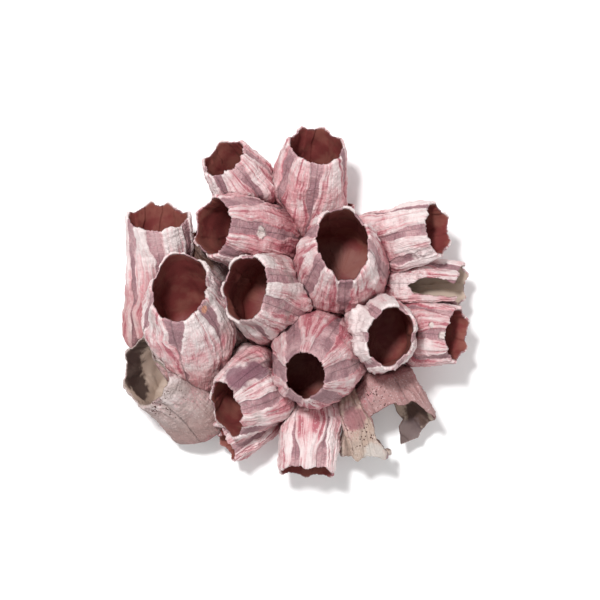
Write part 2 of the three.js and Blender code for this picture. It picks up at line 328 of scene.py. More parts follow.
# How each shell departs from PLAIN_LOOK. pink, stripes, grey and pale say how pink, how striped and
# how grey the outside is and how pale the hollow is: 1 is a lot, and below 0 is less than on any
# common shell. pores is the centre and radius of a porous place in mm, worn is the colour that the
# outside is worn down to, and narrow is how narrow the plates are at the mouth, where 1 is usual.
PLAIN_LOOK = dict(pink=0.4, stripes=0.0, grey=0.1, pale=0.0, pores=None, worn=None, narrow=1)
LOOKS = {
    "barnacle_centre_low": dict(pink=0.75, stripes=0.6, narrow=0.55),
    "barnacle_centre": dict(pink=0.6, stripes=0.4),
    "barnacle_centre_right": dict(pink=0.0, grey=0.25),
    "barnacle_centre_left": dict(pink=0.1, stripes=0.3, grey=0.5),
    "barnacle_left": dict(pink=0.05, stripes=0.1, grey=0.5),
    "barnacle_upper_left": dict(pink=0.8, stripes=0.4),
    "barnacle_low_left": dict(pink=0.3, stripes=0.5, grey=0.5),
    "barnacle_lower_left": dict(pink=0.1, pores=((-50, -37, 31), 9), pale=1.0, worn=(0.40, 0.31, 0.29)),
    "barnacle_top_right": dict(pink=0.6, stripes=0.4),
    "barnacle_top_left": dict(pink=0.5, stripes=0.4),
    "barnacle_right_upper": dict(pink=0.0),
    "barnacle_far_left": dict(pink=-0.1, stripes=-0.3),
    "barnacle_right_lower": dict(pink=0.5, stripes=0.9, grey=0.2),
    "barnacle_bottom": dict(pink=0.2, stripes=0.8),
    "barnacle_right_middle": dict(pink=0.6, stripes=1.0, pale=0.9),
    "barnacle_broken_right": dict(pink=0.5, pores=((27, -40, 27), 9), pale=0.7, worn=(0.36, 0.21, 0.20)),
    "barnacle_broken_low": dict(pink=0.2, pores=((22, -49, 27), 8), pale=0.5, worn=(0.46, 0.35, 0.28)),
    "barnacle_rear_top": dict(pink=0.5, stripes=0.4),
    "barnacle_rear_low_left": dict(stripes=0.4, grey=0.3),
    "barnacle_rear_left": dict(pink=0.3, stripes=0.2, grey=0.8),
    "barnacle_rear_upper_left": dict(stripes=0.3, grey=0.8),
}

# Single marks: white scars of young barnacles, chips and stains, each with its centre and radius in
# mm and its colour. The brown patches on rear_upper_left paint both a brown stain and the shade low
# between the shells.
WHITE_SCAR = (0.72, 0.65, 0.61)
# A brown stain that also paints the shade on the low wall between the shells.
BROWN_STAIN_AND_SHADE = (0.16, 0.075, 0.05)
PURPLE_STAIN = (0.20, 0.085, 0.115)
# Painted shadow for the inner wall of a hollow.
PAINTED_HOLLOW_SHADOW = (0.05, 0.028, 0.024)
MARKS = {
    "barnacle_right_lower": (
        ((51.7, -12.7, 37.0), 1.7, WHITE_SCAR),
        ((54.6, -14.6, 36.5), 1.2, WHITE_SCAR),
        ((47.9, -9.1, 35.4), 1.2, WHITE_SCAR),
    ),
    "barnacle_centre_right": (((22.0, -2.4, 41.0), 2.0, (0.42, 0.38, 0.36)),),
    "barnacle_upper_left": (((-13.7, 24.4, 40.8), 2.3, WHITE_SCAR),),
    "barnacle_left": (((-34.0, -3.3, 51.0), 1.5, (0.66, 0.30, 0.19)),),
    "barnacle_low_left": (
        ((-22.6, -28.5, 37.5), 5.0, PURPLE_STAIN),
        ((-15.5, -25.5, 36.5), 4.5, PURPLE_STAIN),
    ),
    "barnacle_broken_low": (
        ((32.0, -57.6, 24.7), 2.0, (0.20, 0.09, 0.13)),
        ((20.0, -43.5, 27.0), 4.5, (0.30, 0.13, 0.14)),
        ((27.5, -56.5, 25.5), 4.5, (0.58, 0.53, 0.49)),
    ),
    "barnacle_rear_upper_left": (
        # Brown stain with painted shade, low between upper_left, left and far_left.
        ((-39.0, 18.6, 21.3), 4.5, BROWN_STAIN_AND_SHADE),
        ((-34.5, 14.1, 21.7), 3.5, BROWN_STAIN_AND_SHADE),
    ),
}

# Dark marks inside the hollows, given in the same way: painted shadow on the lower_left's left inner
# wall and in the broken_right's hole, and a darker mauve-grey towards the broken_right's lower end.
INNER_STAINS_AND_SHADE = {
    "barnacle_broken_right": (
        # Painted shadow in the hole under the broken_right's broken front wall.
        ((44.0, -43.0, 12.0), 6.0, (0.05, 0.02, 0.016)),
        # A darker mauve-grey towards the shell's lower end.
        ((40.3, -50.5, 11.3), 6.5, (0.13, 0.09, 0.09)),
    ),
    "barnacle_lower_left": (
        # Painted shadow down the left inner wall.
        ((-62.0, -19.5, 22.0), 7.0, PAINTED_HOLLOW_SHADOW),
        ((-62.8, -26.0, 19.0), 7.0, PAINTED_HOLLOW_SHADOW),
        ((-61.0, -33.0, 15.0), 6.0, PAINTED_HOLLOW_SHADOW),
    ),
}

# White craggy lumps on the outside, each with its centre and radius in mm.
KNOBS = {
    "barnacle_centre": (((24.2, 13.3, 54.0), 3.6), ((26.0, 8.2, 46.8), 3.8), ((13.0, 9.0, 30.0), 3.5)),
    "barnacle_right_upper": (((44.7, 17.0, 38.0), 4.0),),
    "barnacle_right_middle": (((38.0, 5.5, 26.0), 4.5), ((43.0, 9.5, 30.0), 3.0)),
    "barnacle_centre_right": (
        ((19.8, -10.5, 49.0), 5.0),
        ((22.5, -17.5, 50.0), 4.5),
        ((21.0, -4.5, 44.0), 4.0),
    ),
    "barnacle_top_right": (((3.0, 40.0, 45.0), 3.5),),
    "barnacle_left": (((-31.1, 6.4, 44.6), 3.0),),
}

# Where broken walls are gone: which shells, above which height and inside which outline seen from
# above, in mm.
BREAKS = [
    (
        ("barnacle_broken_right", "barnacle_broken_low"),
        -1,
        (
            (26.1, -42.9), (30.5, -39.6), (35.1, -37.7), (37.2, -43.2), (39.1, -45.3), (37.4, -48.0),
            (37.7, -52.4), (38.6, -62.0), (35.2, -62.0), (35.2, -56.2), (31.6, -55.4), (28.9, -52.3),
            (27.4, -48.6), (26.9, -44.8),
        ),
    ),
    (
        ("barnacle_broken_right",),
        18,
        (
            (33.7, -38.0), (38.1, -38.6), (40.9, -37.0), (45.5, -40.0), (49.6, -43.0), (56.0, -52.0),
            (40.0, -64.0), (33.0, -50.0),
        ),
    ),
    (
        ("barnacle_right_middle",),
        20,
        (
            (39.5, 5.2), (45.5, 8.2), (51.0, 7.8), (57.0, 6.0), (66.0, 5.0), (66.0, 0.8), (50.0, 1.4),
            (42.0, 2.2),
        ),
    ),
]


def look_of(name):
    return {**PLAIN_LOOK, **LOOKS[name]}


def length_setting(label, about, default):
    """A setting in mm."""
    return bpy.props.FloatProperty(
        name=label, description=about, default=default * MM, subtype="DISTANCE"
    )


def colour_setting(label, about, default):
    """A colour setting."""
    return bpy.props.FloatVectorProperty(
        name=label, description=about, default=default, size=3, subtype="COLOR"
    )


class ShellSizes(bpy.types.PropertyGroup):
    lip_wall: length_setting("Lip", "Wall thickness at the mouth's edge", 0.95)
    deep_wall: length_setting("Wall", "Wall thickness at the floor", 2.4)
    gap: length_setting("Gap", "Clearance between two shells", 0.12)
    plate_rise: length_setting("Plate rise", "How proud a plate's middle is", 0.9)
    seam_sink: length_setting("Seam depth", "How deep the strips lie", 0.5)
    notch: length_setting("Notch", "How far the lip dips between tips", 1.4)
    ribs: length_setting("Ribs", "Height of the ribs on a plate", 0.62)
    crust: length_setting("Crust", "Height of the small bumps", 0.25)
    ledges: length_setting("Ledges", "Height of the growth rings", 0.38)
    lumps: length_setting("Lumps", "Height of the uneven growth", 0.95)


class ShellColours(bpy.types.PropertyGroup):
    white: colour_setting("White", "Bare plate", (0.80, 0.69, 0.68))
    pink: colour_setting("Pink", "Stained plate", (0.64, 0.31, 0.33))
    crimson: colour_setting("Crimson", "Thin stripes", (0.38, 0.08, 0.11))
    mauve: colour_setting("Mauve", "Sunken strips", (0.31, 0.165, 0.185))
    grey: colour_setting("Grey", "Weathered wall", (0.37, 0.31, 0.29))
    hollow: colour_setting("Hollow", "Inside wall", (0.26, 0.083, 0.065))
    pale_hollow: colour_setting("Pale hollow", "Worn inside", (0.50, 0.39, 0.32))
    # Pore: the dark colour painted in the small holes as their shade. The holes themselves are only sunk
    # in the bump.
    pore_shade: colour_setting("Pore", "Small holes in a porous wall", (0.10, 0.045, 0.04))
    # Crevice: multiplies the foot darker. It is painted shade of the crevices between the shells, and on
    # the outer feet it also passes for dirt.
    crevice_shade_and_dirt: colour_setting("Crevice", "What dirt lets through at the foot", (0.62, 0.44, 0.42))
    chalk: colour_setting("Chalk", "Cut face, lighter parts", (0.62, 0.56, 0.50))
    dull_chalk: colour_setting("Dull chalk", "Cut face, darker parts", (0.50, 0.44, 0.38))


def smooth(low, high, value):
    """0 below low, 1 above high and a soft step between."""
    t = np.clip((value - low) / (high - low), 0, 1)
    return t * t * (3 - 2 * t)


def lerp(a, b, t):
    return a + (b - a) * t


def hashed(cell, seed):
    """A repeatable value from -1 to 1 for every whole-number cell."""
    mixed = (cell * np.array([73856093, 19349663, 83492791])).sum(-1) + seed * 2654435761
    mixed = (mixed ^ (mixed >> 13)) * 1274126177 & 0x7FFFFFFF
    mixed = (mixed ^ (mixed >> 16)) * 668265263 & 0x7FFFFFFF
    return (mixed & 0xFFFF) / 32767.5 - 1


def unevenness(points, size, seed=0):
    """Smooth three-dimensional noise from -1 to 1 with hills about size wide."""
    scaled = np.asarray(points, float) / size
    cell = np.floor(scaled).astype(np.int64)
    t = scaled - cell
    t = t * t * (3 - 2 * t)
    total = np.zeros(scaled.shape[:-1])
    for corner in np.ndindex(2, 2, 2):
        weight = np.prod(np.where(np.array(corner) == 1, t, 1 - t), axis=-1)
        total += weight * hashed(cell + np.array(corner), seed)
    return total


def stacked(*parts):
    """Vectors out of their three parts, which may be grids, rows or numbers."""
    return np.stack(np.broadcast_arrays(*parts), -1)


def bearing(shell, level):
    """The centre and the three directions of the cross-section at each level, in mm."""
    foot, mouth, faces = (np.array(v, float) for v in (shell.foot, shell.mouth, shell.faces))
    span = np.linalg.norm(mouth - foot)
    bend = mouth - BEND_SHARE * span * faces / np.linalg.norm(faces)
    t = np.clip(level, 0, 1)[..., None]
    centre = (1 - t) ** 2 * foot + 2 * t * (1 - t) * bend + t * t * mouth
    along = 2 * (1 - t) * (bend - foot) + 2 * t * (mouth - bend)
    along /= np.linalg.norm(along, axis=-1, keepdims=True)
    centre = centre + (level[..., None] - t) * span * along
    across = np.cross(np.array(shell.up, float), along)
    across /= np.linalg.norm(across, axis=-1, keepdims=True)
    return centre, along, across, np.cross(along, across)


def span_of(shell):
    return math.dist(shell.foot, shell.mouth)


def free_radius(shell, level, angle):
    """The round outer radius of a shell that nothing presses on."""
    inside = np.clip(level, 0, 1)
    half_width, half_height = (half + MOUTH_WALL for half in shell.opening)
    turned = angle - math.radians(shell.turn)
    oval = 1 / np.hypot(np.cos(turned) / half_width, np.sin(turned) / half_height)
    to_foot = (1 - inside) * (1 - 2 * inside)
    to_belly = 4 * inside * (1 - inside)
    to_mouth = inside * (2 * inside - 1)
    dome = np.sqrt(np.clip(1 - (np.minimum(level, 0) / FOOT_DOME) ** 2, 0, 1))
    return dome * (to_foot * shell.foot_radius + to_belly * shell.belly + to_mouth * oval)


def round_radius(shell, level, angle):
    """The round outer radius where the neighbours press on the shell."""
    row = np.clip(level, 0, 1) * GRID_LEVELS
    column = np.mod(angle / math.tau, 1) * GRID_ANGLES
    low_row = np.minimum(np.floor(row), GRID_LEVELS - 1).astype(int)
    low_column = np.floor(column).astype(int) % GRID_ANGLES
    next_column = (low_column + 1) % GRID_ANGLES
    share = column - np.floor(column)
    left = shell.left
    below = lerp(left[low_row, low_column], left[low_row, next_column], share)
    above = lerp(left[low_row + 1, low_column], left[low_row + 1, next_column], share)
    return free_radius(shell, level, angle) * lerp(below, above, row - low_row)


def beside(shell, points):
    """How far each point lies outside the room that a shell takes up, in mm."""
    line, _, _, _ = bearing(shell, np.linspace(0, 1, 13))
    level = np.linalg.norm(points[:, None] - line, axis=-1).argmin(1) / 12
    for _ in range(2):
        centre, along, _, _ = bearing(shell, level)
        level = level + ((points - centre) * along).sum(-1) / span_of(shell)
    centre, along, across, rise = bearing(shell, level)
    offset = points - centre
    angle = np.arctan2((offset * rise).sum(-1), (offset * across).sum(-1))
    distance = np.linalg.norm(offset, axis=-1) - round_radius(shell, level, angle)
    return np.where((level < -FOOT_DOME) | (level > 1 + CLEAR_ABOVE), NOT_BESIDE, distance)


def near(shell, other):
    """Whether two shells are close enough to press on each other."""
    both = (shell, other)
    reach = [span_of(s) / 2 + max(s.foot_radius, s.belly, *s.opening) + NEAR_MARGIN for s in both]
    middles = [(np.array(s.foot) + np.array(s.mouth)) / 2 for s in both]
    return np.linalg.norm(middles[0] - middles[1]) < sum(reach)


def press_together(gap):
    """Finds how much of each shell's free radius the shells before it leave to it."""
    levels = np.linspace(0, 1, GRID_LEVELS + 1)
    angles = np.arange(GRID_ANGLES) * math.tau / GRID_ANGLES
    level, angle = (grid.ravel() for grid in np.meshgrid(levels, angles, indexing="ij"))
    for index, shell in enumerate(SHELLS):
        centre, _, across, rise = bearing(shell, level)
        way = across * np.cos(angle)[:, None] + rise * np.sin(angle)[:, None]
        radius = free_radius(shell, level, angle)
        share = np.full(len(level), TIGHTEST)
        open_ = np.arange(len(level))
        stronger = [other for other in SHELLS[:index] if near(shell, other)]
        for tried in np.arange(1, TIGHTEST, -0.03):
            points = centre[open_] + way[open_] * (radius[open_] * tried)[:, None]
            taken = np.zeros(len(open_), bool)
            for other in stronger:
                taken |= beside(other, points) < gap
            share[open_[~taken]] = tried
            open_ = open_[taken]
            if not len(open_):
                break
        shell.left = eased(share.reshape(GRID_LEVELS + 1, GRID_ANGLES))


def eased(grid):
    """The grid averaged with its neighbours, so that a wall has no sudden steps."""
    for _ in range(2):
        padded = np.pad(grid, ((1, 1), (0, 0)), mode="edge")
        grid = (padded[:-2] + padded[1:-1] + padded[2:]) / 3
        grid = (np.roll(grid, 1, 1) + grid + np.roll(grid, -1, 1)) / 3
    return grid


def plate_grid(shell, per_plate):
    """For each column of the wall: its angle, reach, lip height, dip, plate and place in the plate."""
    tips = [(tuple(tip) + (0,))[:4] for tip in shell.tips]
    rows = []
    for plate in range(PLATES):
        angle, reach, height, dip = tips[plate]
        next_angle, next_reach, next_height, _ = tips[(plate + 1) % PLATES]
        for step in range(per_plate):
            share = step / per_plate
            rows.append(
                (
                    math.radians(angle + share * ((next_angle - angle) % 360)),
                    lerp(reach, next_reach, share),
                    lerp(height, next_height, share),
                    dip,
                    plate if share < 0.5 else (plate + 1) % PLATES,
                    share if share < 0.5 else share - 1,
                )
            )
    return np.array(rows).T


def plate_half(name, level, plate, seed):
    """Half a plate's width as a share of the spacing: whole at the foot and narrow at the mouth."""
    at_mouth = HALF_PLATE_AT_MOUTH * look_of(name)["narrow"]
    half = lerp(HALF_PLATE_AT_FOOT, at_mouth, np.clip((level - 0.22) / 0.78, 0, 1))
    sway = 0.2 * unevenness(stacked(level * 6, plate, 0), 1, seed)
    sway = sway + 0.09 * unevenness(stacked(level * 21, plate, 0), 1, seed + 1)
    return half * (1 + sway + 0.22 * hashed(stacked(plate, 5, 0).astype(int), seed))


def lip_rise(sizes, columns, seed, fine):
    """How far the lip stands above the mouth's middle at each column: tips, dips and ragged chips."""
    angle, _, lip, dip, _, place = columns
    lip = lip - (sizes.notch / MM + dip) * np.clip(np.abs(place) / 0.26, 0, 1) ** 1.2
    if fine:
        around = stacked(np.cos(angle), np.sin(angle), 0)
        lip = lip - 0.3 + 0.3 * unevenness(around * 5, 1, seed)
        lip = lip - 0.55 * np.abs(unevenness(around * 13, 1, seed + 1))
    return lip


def wall(shell, sizes, row, per_plate, fine=True):
    """Where every wall point lies, in mm, and what the finish needs to know about it.

    row holds one (height, depth, inside) for each ring: height is 0 at the foot and 1 at the lip, and
    depth is 0 on the outside and 1 on the inside.
    """
    columns = plate_grid(shell, per_plate)
    angle, reach, _, _, plate, place = columns
    height, depth, inside = (column[:, None] for column in np.array(row).T)
    seed = INDEX[shell.name] * 7
    span = span_of(shell)
    level = height * (1 + lip_rise(sizes, columns, seed, fine) / span)
    angles = np.broadcast_to(angle, level.shape)
    centre, _, across, rise = bearing(shell, level)
    way = across * np.cos(angles)[..., None] + rise * np.sin(angles)[..., None]
    body = round_radius(shell, level, angles) * lerp(1, reach, level**2)
    base = centre + way * body[..., None]
    uneven = unevenness(base, 11, 3) + 0.55 * unevenness(base, 5, 5) - 0.35
    body = body + sizes.lumps / MM * uneven * smooth(1.15, 0.75, level)
    across_plate = place / plate_half(shell.name, level, plate, seed)
    on_plate = 1 - smooth(0.88, 1.08, np.abs(across_plate))
    ridge = sizes.plate_rise / MM * (1 - 0.8 * np.clip(np.abs(across_plate), 0, 1) ** 1.7)
    relief = lerp(-sizes.seam_sink / MM, ridge, on_plate) * np.sqrt(np.clip(height, 0, 1))
    outer = body + relief
    ribs = 0
    if fine:
        fan = across_plate * 3.2 + plate * 20
        ribs = rib_pattern(fan, level * span, seed)
        strength = np.clip(1.35 - 0.9 * np.clip(level, 0, 1), 0.35, 1.2) * np.sqrt(np.clip(level, 0, 1))
        outer = outer + sizes.ribs / MM * strength * ribs * on_plate
        crust = unevenness(base, 2.6, 9) + 0.5 * unevenness(base, 1.3, 10)
        outer = outer + sizes.crust / MM * crust * smooth(1.0, 0.93, level)
        ledge = growth_ledges(fan, level * span, seed) * lerp(0.45, 1, on_plate)
        outer = outer + sizes.ledges / MM * ledge * smooth(1.0, 0.95, level)
        outer = outer + knob_rise(shell.name, base) * smooth(1.0, 0.93, level)
    thick = lerp(sizes.lip_wall, sizes.deep_wall, smooth(1, FLOOR_LEVEL, np.clip(level, 0, 1))) / MM
    inner = body + np.minimum(relief, 0) + 0.3 * np.maximum(relief, 0) - thick
    distance = np.maximum(lerp(outer, inner, depth), THINNEST)
    points = centre + way * distance[..., None]
    facts = {
        "rays": stacked(across_plate * 4 + plate * 20 + seed * 31, level * span, ribs),
        "zone": stacked(on_plate, inside, level),
    }
    return points, facts


def rib_pattern(fan, along, seed):
    """Sharp-crested ribs that fan out from each plate's tip, from about -1.5 to 1.5."""
    sway = 0.5 * unevenness(stacked(fan * 0.5, along / 8, 1), 1, seed + 6)
    broad = 1 - 2 * np.abs(unevenness(stacked(fan + sway, along / 22, 0), 1, seed + 2))
    slim = 1 - 2 * np.abs(unevenness(stacked(fan * 2.3 + sway, along / 12, 0), 1, seed + 3))
    return broad + 0.5 * slim - 0.35


def knob_rise(name, points):
    """How far the craggy lumps stand out at each point, in mm."""
    rise = 0
    for centre, radius in KNOBS.get(name, ()):
        apart = np.linalg.norm(points - np.array(centre), axis=-1) / radius
        rise = rise + np.exp(-1.6 * apart**2) * (0.7 + 1.3 * unevenness(points, 1.7, 12))
    return rise


def growth_ledges(fan, along, seed):
    """Uneven rings that rise slowly towards the mouth and drop sharply, from -0.3 to 0.7."""
    sway = 0.9 * unevenness(stacked(fan * 0.5, along / 7, 0), 1, seed + 4)
    sway = sway + 0.3 * unevenness(stacked(fan * 1.7, along / 3, 0), 1, seed + 5)
    height = 0.55 + 0.45 * unevenness(stacked(fan * 0.6, along / 5, 3), 1, seed)
    return (along / 2.7 + sway) % 1 * height - 0.3


def shell_rows(fine):
    """The rings of a shell's wall from the foot over the lip to the floor of the hollow."""
    rows = [(-share * FOOT_DOME, 0, 0) for share in (0.99, 0.93, 0.8, 0.6, 0.3)]
    if not fine:
        return rows + [(height, 0, 0) for height in np.linspace(0, 1.02, 26)]
    rows += [(height, 0, 0) for height in np.linspace(0, 0.985, WALL_RINGS)]
    rows += [(0.994, 0.05, 0), (0.999, 0.2, 0), (1, 0.4, 0), (1, 0.62, 0.2)]
    rows += [(0.998, 0.84, 0.6), (0.99, 0.97, 1)]
    deep = np.linspace(0.98, FLOOR_LEVEL + 0.08, HOLLOW_RINGS)
    return rows + [(height, 1, 1) for height in deep]


def spun(name, profile, steps):
    """A closed round blank: the profile's (radius, height) points spun about Z."""
    bm = bmesh.new()
    ring = [bm.verts.new((radius, 0, height)) for radius, height in profile]
    edges = [bm.edges.new(pair) for pair in zip(ring, ring[1:])]
    bmesh.ops.spin(
        bm,
        geom=ring + edges,
        cent=(0, 0, 0),
        axis=(0, 0, 1),
        angle=math.tau,
        steps=steps,
        use_merge=True,
        use_duplicate=False,
    )
    bmesh.ops.remove_doubles(bm, verts=bm.verts, dist=1e-5)
    bmesh.ops.recalc_face_normals(bm, faces=bm.faces)
    mesh = bpy.data.meshes.new(name)
    bm.to_mesh(mesh)
    bm.free()
    return mesh


def coordinates(mesh):
    flat = np.zeros(len(mesh.vertices) * 3)
    mesh.vertices.foreach_get("co", flat)
    return flat.reshape(-1, 3)


def blank_places(mesh, steps):
    """The ring and column of every vertex of a spun blank."""
    co = coordinates(mesh)
    ring = np.rint(co[:, 2]).astype(int)
    column = np.rint(np.arctan2(co[:, 1], co[:, 0]) / math.tau * steps).astype(int) % steps
    return ring, column


def grow(shell, sizes, fine=True):
    """A shell's mesh: hollow and finely ribbed, or the plain room that it takes up."""
    per_plate = COLUMNS_PER_PLATE if fine else ROOM_COLUMNS_PER_PLATE
    rows = shell_rows(fine)
    points, facts = wall(shell, sizes, rows, per_plate, fine)
    top = 1 + CLEAR_ABOVE / 2
    if fine:
        points, facts = with_floor(shell, points, facts)
        top = FLOOR_LEVEL
    else:
        middle, _, _, _ = bearing(shell, np.array([row[0] for row in rows]))
        away = points - middle[:, None]
        points = points + sizes.gap / MM * away / np.linalg.norm(away, axis=-1, keepdims=True)
    ends, _, _, _ = bearing(shell, np.array([-FOOT_DOME - (0 if fine else 0.02), top]))
    count = len(points)
    steps = PLATES * per_plate
    mesh = spun(shell.name, [(0, -1)] + [(1, i) for i in range(count)] + [(0, count)], steps)
    ring, column = blank_places(mesh, steps)
    placed = points[np.clip(ring, 0, count - 1), column]
    placed[ring < 0] = ends[0]
    placed[ring >= count] = ends[1]
    mesh.vertices.foreach_set("co", (placed * MM).ravel())
    if fine:
        for name, values in facts.items():
            attribute = mesh.attributes.new(name, "FLOAT_VECTOR", "POINT")
            at_vertices = values[np.clip(ring, 0, count - 1), column]
            attribute.data.foreach_set("vector", at_vertices.astype(np.float32).ravel())
    mesh.update()
    turn_outwards(mesh)
    return mesh


def with_floor(shell, points, facts):
    """Adds the rings of a rounded floor inside the last ring of the wall."""
    deep = bearing(shell, np.array([FLOOR_LEVEL]))[0][0]
    rim = points[-1]
    low = rim + (deep - rim.mean(0))
    shares = ((0.93, 0.45), (0.82, 0.68), (0.66, 0.85), (0.45, 0.95), (0.22, 0.99))
    bowl = [lerp(lerp(rim, low, sunk), deep, 1 - wide) for wide, sunk in shares]
    longer = {}
    for name, values in facts.items():
        longer[name] = np.concatenate([values, np.repeat(values[-1:], len(bowl), axis=0)])
    return np.concatenate([points, bowl]), longer


def turn_outwards(mesh):
    bm = bmesh.new()
    bm.from_mesh(mesh)
    if bm.calc_volume(signed=True) < 0:
        bmesh.ops.reverse_faces(bm, faces=bm.faces)
    bm.to_mesh(mesh)
    bm.free()


def placed_object(name, mesh):
    item = bpy.data.objects.new(name, mesh)
    bpy.context.scene.collection.objects.link(item)
    return item


def cut(item, cutters):
    """Takes the cutters' room out of a piece and keeps only its largest body."""
    for cutter in cutters:
        step = item.modifiers.new("cut", "BOOLEAN")
        step.operation = "DIFFERENCE"
        step.solver = "MANIFOLD"
        step.object = cutter
    depsgraph = bpy.context.evaluated_depsgraph_get()
    done = bpy.data.meshes.new_from_object(item.evaluated_get(depsgraph), depsgraph=depsgraph)
    item.modifiers.clear()
    item.data = done
    keep_largest(done)


def keep_largest(mesh):
    """Deletes the doubled faces and the loose crumbs that a cut leaves."""
    bm = bmesh.new()
    bm.from_mesh(mesh)
    bmesh.ops.triangulate(bm, faces=bm.faces)
    same = {}
    for face in bm.faces:
        same.setdefault(frozenset(face.verts), []).append(face)
    doubled = [face for faces in same.values() if len(faces) > 1 for face in faces]
    bmesh.ops.delete(bm, geom=doubled, context="FACES")
    crumbs = islands_of(bm)[:-1]
    bmesh.ops.delete(bm, geom=[vert for crumb in crumbs for vert in crumb], context="VERTS")
    bm.to_mesh(mesh)
    bm.free()


def islands_of(bm):
    """The vertices of every separate body in a mesh, from the smallest body to the largest."""
    bm.verts.index_update()
    seen = np.zeros(len(bm.verts), bool)
    islands = []
    for vert in bm.verts:
        if seen[vert.index]:
            continue
        island, heap = [], [vert]
        seen[vert.index] = True
        while heap:
            current = heap.pop()
            island.append(current)
            for edge in current.link_edges:
                other = edge.other_vert(current)
                if not seen[other.index]:
                    seen[other.index] = True
                    heap.append(other)
        islands.append(island)
    return sorted(islands, key=len)


def block(name, outline, low, high):
    """A block with that outline from above, in mm."""
    bm = bmesh.new()
    base = bm.faces.new([bm.verts.new((x * MM, y * MM, low * MM)) for x, y in outline])
    raised = bmesh.ops.extrude_face_region(bm, geom=[base])["geom"]
    top = [v for v in raised if isinstance(v, bmesh.types.BMVert)]
    bmesh.ops.translate(bm, verts=top, vec=(0, 0, (high - low) * MM))
    bmesh.ops.recalc_face_normals(bm, faces=bm.faces)
    mesh = bpy.data.meshes.new(name)
    bm.to_mesh(mesh)
    bm.free()
    item = placed_object(name, mesh)
    item.hide_render = True
    return item


def jagged(outline):
    """The outline with uneven steps about a millimetre long, as a broken edge has."""
    points = []
    for start, end in zip(outline, outline[1:] + outline[:1]):
        start, end = np.array(start), np.array(end)
        steps = max(1, round(np.linalg.norm(end - start) / BREAK_STEP))
        side = np.array((start[1] - end[1], end[0] - start[0])) / np.linalg.norm(end - start)
        for step in range(steps):
            point = lerp(start, end, step / steps)
            push = 0.5 * unevenness(np.array([*point, 0.0]), 1.4, 11) if step else 0
            points.append(point + side * push)
    return points


def make_shells(names):
    """Grows the named shells, cuts them back from stronger ones and puts them in the frame."""
    scene = bpy.context.scene
    sizes, colours = scene.barnacle_sizes, scene.barnacle_colours
    if SHELLS[0].left is None:
        press_together(sizes.gap / MM)
    square = ((-1, -1), (1, -1), (1, 1), (-1, 1))
    rock = block("rock", [(x * ROCK_REACH, y * ROCK_REACH) for x, y in square], -ROCK_DEPTH, 0)
    last = max(INDEX[name] for name in names)
    rooms = [placed_object(s.name + "_room", grow(s, sizes, fine=False)) for s in SHELLS[:last]]
    for name in names:
        shell = SHELLS[INDEX[name]]
        piece = placed_object(name + "_shell", grow(shell, sizes))
        rivals = [rooms[i] for i in range(INDEX[name]) if near(shell, SHELLS[i])]
        breaks = [(low, outline) for broken, low, outline in BREAKS if name in broken]
        gaps = [block("gap", jagged(outline), low, ABOVE_ALL) for low, outline in breaks]
        cut(piece, [rock, *rivals, *gaps])
        for gap in gaps:
            bpy.data.objects.remove(gap)
        piece.data.shade_smooth()
        piece.data.set_sharp_from_angle(angle=math.radians(60))
        piece.data.materials.clear()
        piece.data.materials.append(shell_finish(name, colours))
        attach(piece, "root")
        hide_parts(name)
    for item in (rock, *rooms):
        bpy.data.objects.remove(item)


class Tree:
    """A short way to add and link shader nodes."""

    def __init__(self, material):
        material.use_nodes = True
        self.tree = material.node_tree
        self.shader = self.tree.nodes["Principled BSDF"]
        self.column = 0

    def node(self, kind, inputs=None, **settings):
        made = self.tree.nodes.new(kind)
        self.column -= 1
        made.location = (220 * self.column / 3, -180 * (self.column % 3))
        for name, value in settings.items():
            setattr(made, name, value)
        for name, value in (inputs or {}).items():
            self.feed(made.inputs[name], value)
        return made

    def feed(self, socket, value):
        if isinstance(value, bpy.types.NodeSocket):
            self.tree.links.new(value, socket)
        else:
            socket.default_value = value

    def math(self, operation, a, b):
        made = self.node("ShaderNodeMath", operation=operation)
        self.feed(made.inputs[0], a)
        self.feed(made.inputs[1], b)
        return made.outputs[0]

    def step(self, value, low, high, out_low=0.0, out_high=1.0):
        """A soft step from out_low to out_high."""
        ends = {"From Min": low, "From Max": high, "To Min": out_low, "To Max": out_high}
        made = self.node(
            "ShaderNodeMapRange", {"Value": value, **ends}, interpolation_type="SMOOTHSTEP"
        )
        return made.outputs["Result"]

    def weighted(self, *terms):
        """The sum of every value times its weight."""
        parts = [self.math("MULTIPLY", value, weight) for value, weight in terms]
        total = parts[0]
        for part in parts[1:]:
            total = self.math("ADD", total, part)
        return total

    def mix(self, factor, a, b, blend="MIX"):
        made = self.node("ShaderNodeMix", data_type="RGBA", blend_type=blend)
        self.feed(made.inputs["Factor"], factor)
        self.feed(made.inputs["A"], a)
        self.feed(made.inputs["B"], b)
        return made.outputs["Result"]

    def scaled(self, vector, scale):
        return self.node("ShaderNodeMapping", {"Vector": vector, "Scale": scale}).outputs["Vector"]

    def noise(self, vector, scale=1.0, detail=2.0, roughness=0.5):
        made = self.node("ShaderNodeTexNoise", {"Vector": vector, "Scale": scale})
        made.inputs["Detail"].default_value = detail
        made.inputs["Roughness"].default_value = roughness
        return made.outputs["Fac"]


def rgba(colour):
    return (*colour, 1.0)


